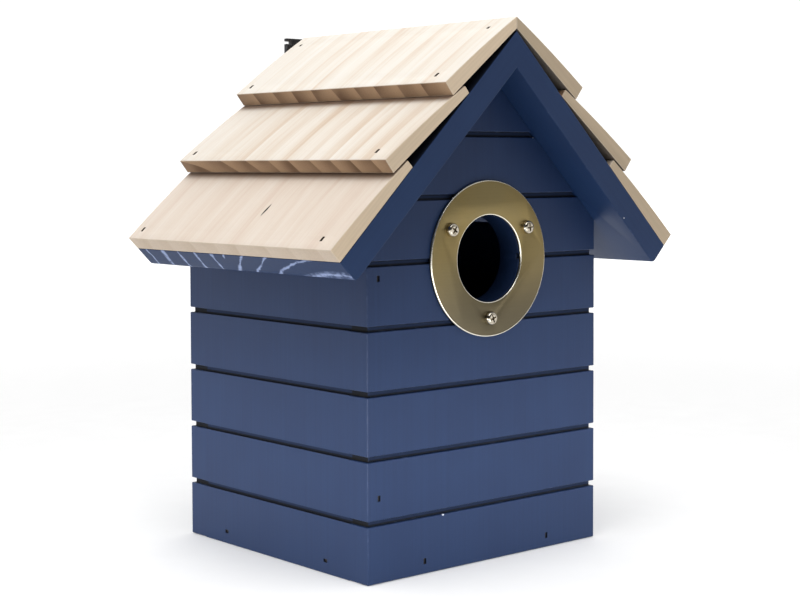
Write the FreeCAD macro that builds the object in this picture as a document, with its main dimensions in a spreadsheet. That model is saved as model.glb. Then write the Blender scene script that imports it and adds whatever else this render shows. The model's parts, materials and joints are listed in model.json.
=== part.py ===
"""Lapped-roof birdhouse: a grooved timber box, a two-panel roof with tapered boards, a metal
entrance ring, a wall hanger and a side door that swings out for cleaning.

Frame: millimetres, +Z up, the entrance faces -Y, the origin is the middle of the underside.
"""
import FreeCAD, Part
import math
import os
import Sketcher
from FreeCAD import Placement, Rotation, Vector

DIMENSIONS = [
    # box
    ("body_width", 115.0),
    ("body_depth", 110.5),
    ("wall_thick", 10.0),
    ("floor_thick", 9.0),
    ("gable_height", 181.0),
    ("floor_door_gap", 0.3),
    # grooves that imitate stacked boards
    ("groove_first", 20.3),
    ("groove_pitch", 22.7),
    ("groove_high", 2.0),
    ("groove_deep", 1.3),
    # roof
    ("roof_slope", 44.5),
    ("panel_thick", 9.5),
    ("panel_length", 114.0),
    ("front_overhang", 15.3),
    ("board_length", 44.6),
    ("board_thin", 3.2),
    ("board_thick", 5.9),
    ("board_belly", 0.5),
    ("board_step", 37.0),
    ("ridge_lap", 1.2),
    ("lap_lift", 4.6),
    # entrance
    ("entrance_height", 112.0),
    ("entrance_radius", 16.0),
    ("ring_radius", 28.8),
    ("ring_thick", 1.2),
    ("ring_screw_circle", 22.0),
    ("ring_hole_radius", 1.5),
    # round-head screws
    ("screw_shank_radius", 1.2),
    ("screw_head_radius", 2.6),
    ("screw_head_high", 1.9),
    ("screw_long", 8.5),
    ("screw_tip_long", 2.0),
    ("pilot_gap", 0.05),
    ("bore_spare", 0.5),
    ("drill_run", 60.0),
    # brad nails
    ("brad_wide", 1.0),
    ("brad_deep", 1.9),
    ("brad_long", 20.0),
    ("board_brad_long", 11.0),
    ("brad_sunk", 0.6),
    ("board_brad_up", 5.0),
    ("ridge_brad_up", 36.0),
    ("brad_from_front", 9.0),
    ("brad_from_rear", 5.0),
    ("wall_brad_low", 30.0),
    ("wall_brad_high", 107.0),
    ("wall_brad_inset", 5.2),
    ("floor_brad_height", 4.5),
    ("floor_brad_spread", 31.0),
    ("panel_brad_upper", 22.0),
    ("panel_brad_lower", 62.0),
    # side door
    ("door_top", 122.5),
    ("door_bottom", 0.8),
    ("door_side_gap", 0.6),
    ("pivot_height", 112.0),
    ("pivot_radius", 1.5),
    ("pivot_in_wall", 6.0),
    ("pivot_in_door", 7.0),
    ("running_gap", 0.05),
    # turn button that holds the door
    ("button_height", 33.0),
    ("button_inset", 6.5),
    ("button_reach", 11.0),
    ("button_radius", 3.0),
    ("button_tip_radius", 2.2),
    ("button_thick", 1.4),
    ("washer_thick", 0.4),
    ("washer_radius", 2.8),
    ("button_screw_long", 14.0),
    # wall hanger
    ("hanger_wide", 12.0),
    ("hanger_thick", 2.0),
    ("hanger_bottom", 146.0),
    ("hanger_top", 199.2),
    ("hanger_step_low", 176.0),
    ("hanger_step_high", 180.0),
    ("hanger_offset", 4.0),
    ("hanger_bend_drop", 1.0),
    ("keyhole_height", 185.0),
    ("keyhole_radius", 3.5),
    ("keyslot_radius", 1.8),
    ("keyslot_rise", 6.5),
    ("hanger_notch_height", 197.4),
    ("hanger_notch_high", 1.0),
    ("hanger_notch_deep", 2.2),
    ("hanger_screw_low", 152.0),
    ("hanger_screw_high", 168.0),
]

GABLE_GROOVES = 7
SIDE_GROOVES = 5
RING_SCREWS = 3
# screw head section as shares of its radius and of its height, and the tip's share of the shank
HEAD_SECTION = [(1.0, 0.45), (0.86, 0.8), (0.5, 1.0), (0.0, 1.0)]
TIP_SHARE = 0.3
LEAST_CUT = 0.01

doc = FreeCAD.newDocument("birdhouse")
sheet = doc.addObject("Spreadsheet::Sheet", "dims")
for row, (alias, value) in enumerate(DIMENSIONS, start=1):
    sheet.set("A%d" % row, alias)
    sheet.set("B%d" % row, str(value))
    sheet.setAlias("B%d" % row, alias)
doc.recompute()
size = {alias: float(sheet.get(alias)) for alias, _ in DIMENSIONS}

SLOPE = math.radians(size["roof_slope"])
RIDGE = size["gable_height"] + size["panel_thick"] / math.cos(SLOPE)
# down the left slope, and out of it, from the outer ridge line of the roof panels
DOWN_SLOPE = Vector(-math.cos(SLOPE), 0, -math.sin(SLOPE))
OUT_OF_SLOPE = Vector(-math.sin(SLOPE), 0, math.cos(SLOPE))
X_AXIS = Vector(1, 0, 0)
Y_AXIS = Vector(0, 1, 0)
Z_AXIS = Vector(0, 0, 1)
FRONT = -size["body_depth"] / 2
REAR = size["body_depth"] / 2
SIDE = size["body_width"] / 2

nodes = {}


def keep(item, label):
    """Name an object as a finished sub-part."""
    item.Label = label
    nodes[label] = item
    return item


def bind(item, **expressions):
    """Bind properties of an object to the sheet; double underscores stand for dots."""
    for name, expression in expressions.items():
        item.setExpression(name.replace("__", "."), expression)
    return item


def new_sketch(body, name, plane_role):
    sketch = body.newObject("Sketcher::SketchObject", name)
    plane = [f for f in body.Origin.OriginFeatures if f.Role == plane_role][0]
    sketch.AttachmentSupport = (plane, [""])
    sketch.MapMode = "FlatFace"
    return sketch


def pin_point(sketch, geometry, position, x_expression, y_expression):
    """Fix one sketch point at two sheet expressions."""
    for kind, expression in (("DistanceX", x_expression), ("DistanceY", y_expression)):
        index = sketch.addConstraint(Sketcher.Constraint(kind, geometry, position, 1.0))
        sketch.setExpression("Constraints[%d]" % index, expression)


def add_polygon(sketch, points, start_radius=20.0):
    """Closed outline whose corners sit at pairs of sheet expressions."""
    count = len(points)
    first = sketch.GeometryCount
    corners = [
        Vector(start_radius * math.cos(2 * math.pi * i / count),
               start_radius * math.sin(2 * math.pi * i / count), 0)
        for i in range(count)
    ]
    for i in range(count):
        sketch.addGeometry(Part.LineSegment(corners[i], corners[(i + 1) % count]), False)
    for i in range(count):
        joint = Sketcher.Constraint("Coincident", first + i, 2, first + (i + 1) % count, 1)
        sketch.addConstraint(joint)
    for i, (x_expression, y_expression) in enumerate(points):
        pin_point(sketch, first + i, 1, x_expression, y_expression)


def add_circle(sketch, x_expression, y_expression, radius_expression):
    index = sketch.addGeometry(Part.Circle(Vector(1, 1, 0), Z_AXIS, 2.0), False)
    pin_point(sketch, index, 3, x_expression, y_expression)
    radius = sketch.addConstraint(Sketcher.Constraint("Radius", index, 2.0))
    sketch.setExpression("Constraints[%d]" % radius, radius_expression)


def new_body(name):
    return doc.addObject("PartDesign::Body", name)


def pad(body, name, sketch, length_expression, middle=True):
    feature = body.newObject("PartDesign::Pad", name)
    feature.Profile = sketch
    feature.Midplane = middle
    feature.setExpression("Length", length_expression)
    sketch.Visibility = False
    doc.recompute()
    return feature


def pocket(body, name, sketch, length_expression=None, middle=False, reverse=False):
    """Cut a sketch into the body and stop if nothing was removed."""
    before = body.Shape.Volume
    feature = body.newObject("PartDesign::Pocket", name)
    feature.Profile = sketch
    feature.Midplane = middle
    feature.Reversed = reverse
    if length_expression is None:
        feature.Type = "ThroughAll"
    else:
        feature.setExpression("Length", length_expression)
    sketch.Visibility = False
    doc.recompute()
    if not body.Shape.Volume < before - LEAST_CUT:
        raise RuntimeError("%s cuts nothing" % name)
    return feature


def cut_grooves(body, outline, count):
    """Run the board-look grooves round the body: one cut, repeated up the wall."""
    sketch = new_sketch(body, "groove_plan", "XY_Plane")
    add_polygon(sketch, outline)
    sketch.setExpression("AttachmentOffset.Base.z", "dims.groove_first")
    groove = pocket(body, "groove", sketch, "dims.groove_high", reverse=True)
    rows = body.newObject("PartDesign::LinearPattern", "groove_rows")
    rows.Originals = [groove]
    axis = [f for f in body.Origin.OriginFeatures if f.Role == "Z_Axis"][0]
    rows.Direction = (axis, [""])
    rows.Occurrences = count
    if hasattr(rows, "Mode"):
        rows.Mode = "Spacing"
    spacing = "Offset" if hasattr(rows, "Offset") else "Length"
    rows.setExpression(spacing, "dims.groove_pitch")
    body.Tip = rows
    doc.recompute()


def box(name, wide, deep, high, centre, rotation=None, anchor="centre"):
    """Part box with its sizes bound to the sheet, placed by its centre or by its top face."""
    item = doc.addObject("Part::Box", name)
    bind(item, Length=wide, Width=deep, Height=high)
    doc.recompute()
    drop = 0.5 if anchor == "centre" else 1.0
    corner = Vector(-item.Length.Value / 2, -item.Width.Value / 2, -item.Height.Value * drop)
    turn = rotation or Rotation()
    item.Placement = Placement(centre + turn.multVec(corner), turn)
    return item


def rod(name, radius, length, base, direction):
    """Part cylinder with its sizes bound to the sheet."""
    item = doc.addObject("Part::Cylinder", name)
    bind(item, Radius=radius, Height=length)
    item.Placement = Placement(base, Rotation(Z_AXIS, direction))
    return item


def group(name, items):
    """Separate solids that are one node."""
    compound = doc.addObject("Part::Compound", name)
    compound.Links = items
    return compound


def drilled(base, name, tools):
    cut = doc.addObject("Part::Cut", name)
    cut.Base = base
    cut.Tool = group(name + "_tools", tools)
    return cut


# ---------------------------------------------------------------- fasteners

nail_holes = {}


def brad(name, head, inward, pieces, turn=0.0, length="dims.brad_long"):
    """Flat-headed brad whose head is sunk below the point 'head', and its holes in the pieces."""
    rotation = Rotation(Z_AXIS, inward * -1) * Rotation(Z_AXIS, turn)
    top = head + inward * size["brad_sunk"]
    nail = box(name, "dims.brad_wide", "dims.brad_deep", length, top, rotation, "top")
    hole = box(
        name + "_hole",
        "dims.brad_wide + 2 * dims.pilot_gap",
        "dims.brad_deep + 2 * dims.pilot_gap",
        length + " + dims.brad_sunk + 2 * dims.pilot_gap",
        head - inward * size["pilot_gap"],
        rotation,
        "top",
    )
    for piece in pieces:
        nail_holes.setdefault(piece, []).append(hole)
    return nail


def pan_head_screw(name, seat, inward, length_expression):
    """Screw with a domed head on 'seat' and a plain shank along 'inward'."""
    body = new_body(name)
    sketch = new_sketch(body, name + "_profile", "XZ_Plane")
    shank = "dims.screw_shank_radius"
    head = "dims.screw_head_radius"
    high = "dims.screw_head_high"
    tail = "-(%s)" % length_expression
    points = [
        ("0", tail),
        ("%s * %g" % (shank, TIP_SHARE), tail),
        (shank, tail + " + dims.screw_tip_long"),
        (shank, "0"),
        (head, "0"),
    ]
    for across, up in HEAD_SECTION:
        points.append(("%s * %g" % (head, across), "%s * %g" % (high, up)))
    add_polygon(sketch, points, size["screw_head_radius"])
    turned = body.newObject("PartDesign::Revolution", name + "_turned")
    turned.Profile = sketch
    turned.ReferenceAxis = (sketch, ["V_Axis"])
    turned.Angle = 360.0
    sketch.Visibility = False
    body.Placement = Placement(seat, Rotation(Z_AXIS, inward * -1))
    return body


# ---------------------------------------------------------------- walls and floor

HALF_WIDE = "dims.body_width / 2"
SHOULDER = "dims.gable_height - dims.body_width / 2 * tan(dims.roof_slope * 1deg)"
GROOVED_SIDE = "dims.body_width / 2 - dims.groove_deep"


def gable_blank(name, facing):
    """Five-sided end wall with grooves over its outer face and both ends."""
    body = new_body(name)
    outline = new_sketch(body, name + "_outline", "XZ_Plane")
    add_polygon(outline, [
        ("-" + HALF_WIDE, "0"),
        (HALF_WIDE, "0"),
        (HALF_WIDE, SHOULDER),
        ("0", "dims.gable_height"),
        ("-" + HALF_WIDE, SHOULDER),
    ])
    pad(body, name + "_board", outline, "dims.wall_thick")
    outer = "%d * dims.wall_thick" % facing
    floor_of_groove = "%d * (dims.wall_thick / 2 - dims.groove_deep)" % facing
    inner = "%d * dims.wall_thick" % -facing
    wide = "dims.body_width"
    cut_grooves(body, [
        ("-" + wide, outer),
        (wide, outer),
        (wide, inner),
        (GROOVED_SIDE, inner),
        (GROOVED_SIDE, floor_of_groove),
        ("-(%s)" % GROOVED_SIDE, floor_of_groove),
        ("-(%s)" % GROOVED_SIDE, inner),
        ("-" + wide, inner),
    ], GABLE_GROOVES)
    bind(body, Placement__Base__y="%d * (dims.body_depth / 2 - dims.wall_thick / 2)" % facing)
    return body


def side_blank(name, side, profile, length_expression, row_count):
    """Wall between the gables, grooved over its outer face only."""
    body = new_body(name)
    outline = new_sketch(body, name + "_outline", "XZ_Plane")
    add_polygon(outline, profile)
    pad(body, name + "_board", outline, length_expression)
    near = "%d * (%s)" % (side, GROOVED_SIDE)
    far = "%d * dims.body_width" % side
    cut_grooves(body, [
        (near, "-dims.body_depth"),
        (far, "-dims.body_depth"),
        (far, "dims.body_depth"),
        (near, "dims.body_depth"),
    ], row_count)
    return body


INNER_SIDE = "(dims.body_width / 2 - dims.wall_thick)"
INNER_SHOULDER = "dims.gable_height - %s * tan(dims.roof_slope * 1deg)" % INNER_SIDE

front_blank = gable_blank("front_blank", -1)
entrance = new_sketch(front_blank, "entrance_sketch", "XZ_Plane")
add_circle(entrance, "0", "dims.entrance_height", "dims.entrance_radius")
pocket(front_blank, "entrance_hole", entrance, "dims.drill_run", middle=True)
rear_blank = gable_blank("rear_blank", 1)
left_blank = side_blank("left_blank", -1, [
    ("-" + HALF_WIDE, "0"),
    ("-" + INNER_SIDE, "0"),
    ("-" + INNER_SIDE, INNER_SHOULDER),
    ("-" + HALF_WIDE, SHOULDER),
], "dims.body_depth - 2 * dims.wall_thick", SIDE_GROOVES)
door_blank = side_blank("door_blank", 1, [
    (INNER_SIDE, "dims.door_bottom"),
    (HALF_WIDE, "dims.door_bottom"),
    (HALF_WIDE, "dims.door_top"),
    (INNER_SIDE, "dims.door_top"),
], "dims.body_depth - 2 * dims.wall_thick - 2 * dims.door_side_gap", SIDE_GROOVES)

floor_blank = doc.addObject("Part::Box", "floor_blank")
bind(
    floor_blank,
    Length="dims.body_width - 2 * dims.wall_thick - dims.floor_door_gap",
    Width="dims.body_depth - 2 * dims.wall_thick",
    Height="dims.floor_thick",
    Placement__Base__x="-dims.body_width / 2 + dims.wall_thick",
    Placement__Base__y="-dims.body_depth / 2 + dims.wall_thick",
)

# ---------------------------------------------------------------- roof panels and boards

left_panel_blank = new_body("left_panel_blank")
panel_outline = new_sketch(left_panel_blank, "panel_outline", "XZ_Plane")
RIDGE_Z = "dims.gable_height + dims.panel_thick / cos(dims.roof_slope * 1deg)"
EAVE_X = "-dims.panel_length * cos(dims.roof_slope * 1deg)"
EAVE_Z = RIDGE_Z + " - dims.panel_length * sin(dims.roof_slope * 1deg)"
add_polygon(panel_outline, [
    ("0", "dims.gable_height"),
    ("0", RIDGE_Z),
    (EAVE_X, EAVE_Z),
    (
        EAVE_X + " + dims.panel_thick * sin(dims.roof_slope * 1deg)",
        EAVE_Z + " - dims.panel_thick * cos(dims.roof_slope * 1deg)",
    ),
])
pad(left_panel_blank, "panel_board", panel_outline, "dims.body_depth + dims.front_overhang")
bind(left_panel_blank, Placement__Base__y="-dims.front_overhang / 2")

ROOF_MIDDLE = -size["front_overhang"] / 2
ROOF_LONG = "dims.body_depth + dims.front_overhang"


def slope_point(down, out):
    """Point on the left roof slope, in the section through the middle of the roof."""
    return Vector(0, ROOF_MIDDLE, RIDGE) + DOWN_SLOPE * down + OUT_OF_SLOPE * out


def tapered_board(name, lower_edge_down, lift):
    """Board with a thin upper edge and a thick lower edge, its underside raised at the bottom.

    The sketch runs up the board from its lower underside edge; the outer face has a slight belly.
    """
    body = new_body(name)
    sketch = new_sketch(body, name + "_section", "XZ_Plane")
    length, thin, thick = size["board_length"], size["board_thin"], size["board_thick"]
    low, high = Vector(0, thick, 0), Vector(length, thin, 0)
    crown = Vector(length / 2, (thin + thick) / 2 + size["board_belly"], 0)
    sketch.addGeometry(Part.LineSegment(Vector(0, 0, 0), Vector(length, 0, 0)), False)
    sketch.addGeometry(Part.LineSegment(Vector(length, 0, 0), high), False)
    sketch.addGeometry(Part.Arc(high, crown, low), False)
    sketch.addGeometry(Part.LineSegment(low, Vector(0, 0, 0)), False)
    ends = {0: (1, 2), 1: (1, 2), 2: (2, 1), 3: (1, 2)}
    arc_ends = (2, 1)
    start = sketch.Geometry[2].StartPoint
    if start.distanceToPoint(high) < start.distanceToPoint(low):
        arc_ends = (1, 2)
    ends[2] = arc_ends
    for this, following in ((0, 1), (1, 2), (2, 3), (3, 0)):
        sketch.addConstraint(Sketcher.Constraint(
            "Coincident", this, ends[this][1], following, ends[following][0]))
    for geometry, x_expression, y_expression in (
        (0, "0", "0"),
        (1, "dims.board_length", "0"),
        (3, "0", "dims.board_thick"),
    ):
        pin_point(sketch, geometry, 1, x_expression, y_expression)
    pin_point(sketch, 2, arc_ends[0], "dims.board_length", "dims.board_thin")
    radius = sketch.addConstraint(Sketcher.Constraint("Radius", 2, sketch.Geometry[2].Radius))
    belly_radius = "dims.board_length ^ 2 / (8 * dims.board_belly)"
    sketch.setExpression("Constraints[%d]" % radius, belly_radius)
    pad(body, name + "_pad", sketch, ROOF_LONG)
    tilt = math.degrees(math.asin(lift / length))
    upward = Rotation(Y_AXIS, -(size["roof_slope"] - tilt))
    body.Placement = Placement(slope_point(lower_edge_down, lift), upward)
    return body


def board_point(body, up, out, along):
    """Point on a board, measured up from its lower edge, out of its underside and along it."""
    return body.Placement.multVec(Vector(up, along - ROOF_MIDDLE, out))


lower_down = size["panel_length"]
middle_down = lower_down - size["board_step"]
upper_down = middle_down - size["board_step"] - size["ridge_lap"]
board_blanks = {
    "lower": tapered_board("left_lower_blank", lower_down, 0.0),
    "middle": tapered_board("left_middle_blank", middle_down, size["lap_lift"]),
    "upper": tapered_board("left_upper_blank", upper_down, size["lap_lift"]),
}

# the upper boards meet in a mitre over the ridge
mitre_side = doc.addObject("Part::Box", "mitre_side")
bind(mitre_side, Length="dims.body_width", Width="2 * dims.body_depth", Height="dims.body_width")
mitre_side.Placement = Placement(Vector(0, -size["body_depth"], size["gable_height"] - SIDE), Rotation())
upper_mitred = doc.addObject("Part::Cut", "left_upper_mitred")
upper_mitred.Base = board_blanks["upper"]
upper_mitred.Tool = mitre_side
doc.recompute()

BRAD_ROWS = (
    FRONT - size["front_overhang"] + size["brad_from_front"],
    REAR - size["brad_from_rear"],
)
NAILED_THROUGH = {
    "upper": ["upper", "middle", "panel"],
    "middle": ["middle", "lower", "panel"],
    "lower": ["lower", "panel"],
}


def board_brads(which, up, upright=False):
    """Brads through one board into what it lies on, square to its face or straight down."""
    body = board_blanks[which]
    length, thin, thick = size["board_length"], size["board_thin"], size["board_thick"]
    taper = math.degrees(math.atan2(thick - thin, length))
    square = body.Placement.Rotation * Rotation(Y_AXIS, taper)
    inward = Z_AXIS * -1 if upright else square.multVec(Z_AXIS) * -1
    belly = size["board_belly"] * (1 - (2 * up / length - 1) ** 2)
    surface = thick + (thin - thick) * up / length + belly
    nails = []
    for along in BRAD_ROWS:
        head = board_point(body, up, surface, along)
        name = "%s_brad_%d_%d" % (which, up, len(nails) + 1)
        nails.append(brad(name, head, inward, NAILED_THROUGH[which], 90.0, "dims.board_brad_long"))
    return nails


left_board_nails = (
    board_brads("upper", size["board_brad_up"])
    + board_brads("upper", size["ridge_brad_up"], upright=True)
    + board_brads("middle", size["board_brad_up"])
    + board_brads("lower", size["board_brad_up"])
)

ENDS = (("front", FRONT, Y_AXIS), ("rear", REAR, Y_AXIS * -1))
wall_nails = []
for piece, face, inward in ENDS:
    for height in (size["wall_brad_low"], size["wall_brad_high"]):
        head = Vector(-SIDE + size["wall_brad_inset"], face, height)
        name = "%s_wall_brad_%d" % (piece, height)
        wall_nails.append(brad(name, head, inward, [piece, "left"]))

floor_nails = []
for sign in (-1, 1):
    spread = sign * size["floor_brad_spread"]
    height = size["floor_brad_height"]
    for piece, head, inward in (
        ("front", Vector(spread, FRONT, height), Y_AXIS),
        ("rear", Vector(spread, REAR, height), Y_AXIS * -1),
        ("left", Vector(-SIDE, spread, height), X_AXIS),
    ):
        name = "%s_floor_brad_%d" % (piece, sign + 1)
        floor_nails.append(brad(name, head, inward, [piece, "floor"]))

# brads through the left panel into both gables
left_panel_nails = []
for down in (size["panel_brad_upper"], size["panel_brad_lower"]):
    for piece, face, inward in ENDS:
        head = slope_point(down, 0.0)
        head.y = face + inward.y * size["wall_thick"] / 2
        name = "panel_%s_brad_%d" % (piece, down)
        left_panel_nails.append(brad(name, head, OUT_OF_SLOPE * -1, ["panel", piece], 90.0))


def mirrored(item, name):
    """Copy for the other slope."""
    twin = doc.addObject("Part::Mirroring", name)
    twin.Source = item
    twin.Normal = X_AXIS
    return twin


# the right-hand panel brads also go into the gables
for piece in ("front", "rear"):
    left_holes = [hole for hole in nail_holes[piece] if "panel" in hole.Name]
    nail_holes[piece] += [mirrored(hole, "right_" + hole.Name) for hole in left_holes]

# ---------------------------------------------------------------- entrance ring

ring_blank = new_body("ring_blank")
ring_sketch = new_sketch(ring_blank, "ring_sketch", "XZ_Plane")
add_circle(ring_sketch, "0", "0", "dims.ring_radius")
add_circle(ring_sketch, "0", "0", "dims.entrance_radius")
pad(ring_blank, "ring_disc", ring_sketch, "dims.ring_thick")
screw_sketch = new_sketch(ring_blank, "screw_sketch", "XZ_Plane")
add_circle(screw_sketch, "0", "-dims.ring_screw_circle", "dims.ring_hole_radius")
screw_hole = pocket(ring_blank, "screw_hole", screw_sketch, "dims.drill_run", middle=True)
holes = ring_blank.newObject("PartDesign::PolarPattern", "screw_holes")
holes.Originals = [screw_hole]
ring_axis = [f for f in ring_blank.Origin.OriginFeatures if f.Role == "Y_Axis"][0]
holes.Axis = (ring_axis, [""])
holes.Angle = 360.0
holes.Occurrences = RING_SCREWS
ring_blank.Tip = holes
bind(
    ring_blank,
    Placement__Base__y="-dims.body_depth / 2 - dims.ring_thick / 2",
    Placement__Base__z="dims.entrance_height",
)
keep(ring_blank, "entrance_plate")

plate_screws = []
for number in range(RING_SCREWS):
    angle = 2 * math.pi * number / RING_SCREWS - math.pi / 2
    radius = size["ring_screw_circle"]
    seat = Vector(
        radius * math.cos(angle),
        FRONT - size["ring_thick"],
        size["entrance_height"] + radius * math.sin(angle),
    )
    name = "plate_screw_%d" % (number + 1)
    plate_screws.append(pan_head_screw(name, seat, Y_AXIS, "dims.screw_long"))
    nail_holes["front"].append(rod(
        "plate_pilot_%d" % (number + 1),
        "dims.screw_shank_radius + dims.pilot_gap",
        "dims.screw_long + dims.bore_spare",
        seat,
        Y_AXIS,
    ))
keep(group("plate_screws", plate_screws), "plate_screws")

# ---------------------------------------------------------------- side door

PIVOT_X = SIDE - size["wall_thick"] / 2
pivots = []
door_bores = []
for piece, face, inward in ENDS:
    start = Vector(PIVOT_X, face, size["pivot_height"])
    start += inward * (size["wall_thick"] - size["pivot_in_wall"])
    length = "dims.pivot_in_wall + dims.door_side_gap + dims.pivot_in_door"
    pivots.append(rod(piece + "_pivot", "dims.pivot_radius", length, start, inward))
    nail_holes[piece].append(rod(
        piece + "_pivot_socket", "dims.pivot_radius", "dims.pivot_in_wall + dims.bore_spare",
        start, inward))
    door_bores.append(rod(
        piece + "_door_bore",
        "dims.pivot_radius + dims.running_gap",
        length + " + dims.bore_spare",
        start,
        inward,
    ))
keep(group("pivot_pins", pivots), "pivot_pins")
keep(drilled(door_blank, "door_drilled", door_bores), "side_door")

# ---------------------------------------------------------------- turn button

BUTTON_Y = FRONT + size["button_inset"]
button_centre = Vector(SIDE, BUTTON_Y, size["button_height"])
washer_blank = rod("washer_disc", "dims.washer_radius", "dims.washer_thick",
                   button_centre + X_AXIS * size["running_gap"], X_AXIS)
SHANK_HOLE = "dims.screw_shank_radius + dims.running_gap"
DRILL_START = button_centre - X_AXIS * size["washer_thick"]
washer_hole = rod("washer_hole", SHANK_HOLE, "dims.drill_run", DRILL_START, X_AXIS)
keep(drilled(washer_blank, "button_washer_drilled", [washer_hole]), "button_washer")

button_blank = new_body("button_blank")
button_outline = new_sketch(button_blank, "button_outline", "YZ_Plane")
wide, tip = size["button_radius"], size["button_tip_radius"]
reach = size["button_reach"]
top_arc = Part.Arc(Vector(wide, 0, 0), Vector(0, wide, 0), Vector(-wide, 0, 0))
left_edge = Part.LineSegment(Vector(-wide, 0, 0), Vector(-tip, tip - reach, 0))
tip_arc = Part.Arc(Vector(-tip, tip - reach, 0), Vector(0, -reach, 0), Vector(tip, tip - reach, 0))
right_edge = Part.LineSegment(Vector(tip, tip - reach, 0), Vector(wide, 0, 0))
button_outline.addGeometry([top_arc, left_edge, tip_arc, right_edge], False)
pad(button_blank, "button_plate", button_outline, "dims.button_thick", middle=False)
button_seat = SIDE + size["washer_thick"] + 2 * size["running_gap"]
button_blank.Placement = Placement(Vector(button_seat, BUTTON_Y, size["button_height"]), Rotation())
button_hole = rod("button_hole", SHANK_HOLE, "dims.drill_run", DRILL_START, X_AXIS)
keep(drilled(button_blank, "button_drilled", [button_hole]), "door_button")
button_top = button_seat + size["button_thick"] + size["running_gap"]
button_screw_seat = Vector(button_top, BUTTON_Y, size["button_height"])
button_screw = pan_head_screw(
    "button_screw", button_screw_seat, X_AXIS * -1, "dims.button_screw_long")
keep(button_screw, "button_screw")
nail_holes["front"].append(rod(
    "button_pilot",
    "dims.screw_shank_radius + dims.pilot_gap",
    "dims.button_screw_long",
    button_centre + X_AXIS * size["bore_spare"],
    X_AXIS * -1,
))

# ---------------------------------------------------------------- wall hanger

hanger_blank = new_body("hanger_blank")
hanger_side = new_sketch(hanger_blank, "hanger_side", "YZ_Plane")
add_polygon(hanger_side, [
    ("0", "dims.hanger_bottom"),
    ("dims.hanger_thick", "dims.hanger_bottom"),
    ("dims.hanger_thick", "dims.hanger_step_low - dims.hanger_bend_drop"),
    ("dims.hanger_thick + dims.hanger_offset", "dims.hanger_step_high - dims.hanger_bend_drop"),
    ("dims.hanger_thick + dims.hanger_offset", "dims.hanger_top"),
    ("dims.hanger_offset", "dims.hanger_top"),
    ("dims.hanger_offset", "dims.hanger_step_high"),
    ("0", "dims.hanger_step_low"),
])
pad(hanger_blank, "hanger_strip", hanger_side, "dims.hanger_wide")
keyhole = new_sketch(hanger_blank, "keyhole", "XZ_Plane")
add_circle(keyhole, "0", "dims.keyhole_height", "dims.keyhole_radius")
pocket(hanger_blank, "keyhole_cut", keyhole, "dims.drill_run", middle=True)
keyslot = new_sketch(hanger_blank, "keyslot", "XZ_Plane")
SLOT = "dims.keyslot_radius"
SLOT_TOP = "dims.keyhole_height + dims.keyslot_rise"
add_polygon(keyslot, [
    ("-" + SLOT, "dims.keyhole_height"),
    (SLOT, "dims.keyhole_height"),
    (SLOT, SLOT_TOP),
    ("-" + SLOT, SLOT_TOP),
])
pocket(hanger_blank, "keyslot_cut", keyslot, "dims.drill_run", middle=True)
slot_end = new_sketch(hanger_blank, "slot_end", "XZ_Plane")
add_circle(slot_end, "0", SLOT_TOP, SLOT)
pocket(hanger_blank, "slot_end_cut", slot_end, "dims.drill_run", middle=True)
notches = new_sketch(hanger_blank, "notches", "XZ_Plane")
NOTCH_LOW = "dims.hanger_notch_height - dims.hanger_notch_high / 2"
NOTCH_HIGH = "dims.hanger_notch_height + dims.hanger_notch_high / 2"
for sign in ("", "-"):
    inner = "%s(dims.hanger_wide / 2 - dims.hanger_notch_deep)" % sign
    outer = "%s(dims.hanger_wide)" % sign
    add_polygon(notches, [
        (inner, NOTCH_LOW),
        (outer, NOTCH_LOW),
        (outer, NOTCH_HIGH),
        (inner, NOTCH_HIGH),
    ])
pocket(hanger_blank, "notches_cut", notches, "dims.drill_run", middle=True)
hanger_screws_sketch = new_sketch(hanger_blank, "hanger_screw_holes", "XZ_Plane")
for height in ("dims.hanger_screw_low", "dims.hanger_screw_high"):
    add_circle(hanger_screws_sketch, "0", height, "dims.ring_hole_radius")
pocket(hanger_blank, "hanger_screw_cut", hanger_screws_sketch, "dims.drill_run", middle=True)
bind(hanger_blank, Placement__Base__y="dims.body_depth / 2")
keep(hanger_blank, "hanger_plate")

hanger_screws = []
for number, height in enumerate((size["hanger_screw_low"], size["hanger_screw_high"]), start=1):
    seat = Vector(0, REAR + size["hanger_thick"], height)
    name = "hanger_screw_%d" % number
    hanger_screws.append(pan_head_screw(name, seat, Y_AXIS * -1, "dims.screw_long"))
    nail_holes["rear"].append(rod(
        "hanger_pilot_%d" % number,
        "dims.screw_shank_radius + dims.pilot_gap",
        "dims.screw_long + dims.bore_spare",
        seat,
        Y_AXIS * -1,
    ))
keep(group("hanger_screws", hanger_screws), "hanger_screws")

# ---------------------------------------------------------------- drilled wooden pieces

keep(drilled(front_blank, "front_drilled", nail_holes["front"]), "front_wall")
keep(drilled(rear_blank, "rear_drilled", nail_holes["rear"]), "rear_wall")
keep(drilled(left_blank, "left_drilled", nail_holes["left"]), "left_wall")
keep(drilled(floor_blank, "floor_drilled", nail_holes["floor"]), "floor_panel")
left_pieces = {
    "roof_panel": drilled(left_panel_blank, "left_panel_drilled", nail_holes["panel"]),
    "upper_board": drilled(upper_mitred, "left_upper_drilled", nail_holes["upper"]),
    "middle_board": drilled(board_blanks["middle"], "left_middle_drilled", nail_holes["middle"]),
    "lower_board": drilled(board_blanks["lower"], "left_lower_drilled", nail_holes["lower"]),
    "board_nails": group("left_board_brads", left_board_nails),
    "panel_nails": group("left_panel_brads", left_panel_nails),
}
for name, item in left_pieces.items():
    keep(item, "left_" + name)
    keep(mirrored(item, "mirrored_" + name), "right_" + name)
keep(group("wall_brads", wall_nails), "wall_nails")
keep(group("floor_brads", floor_nails), "floor_nails")
doc.recompute()

# ---------------------------------------------------------------- checks and export

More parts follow.
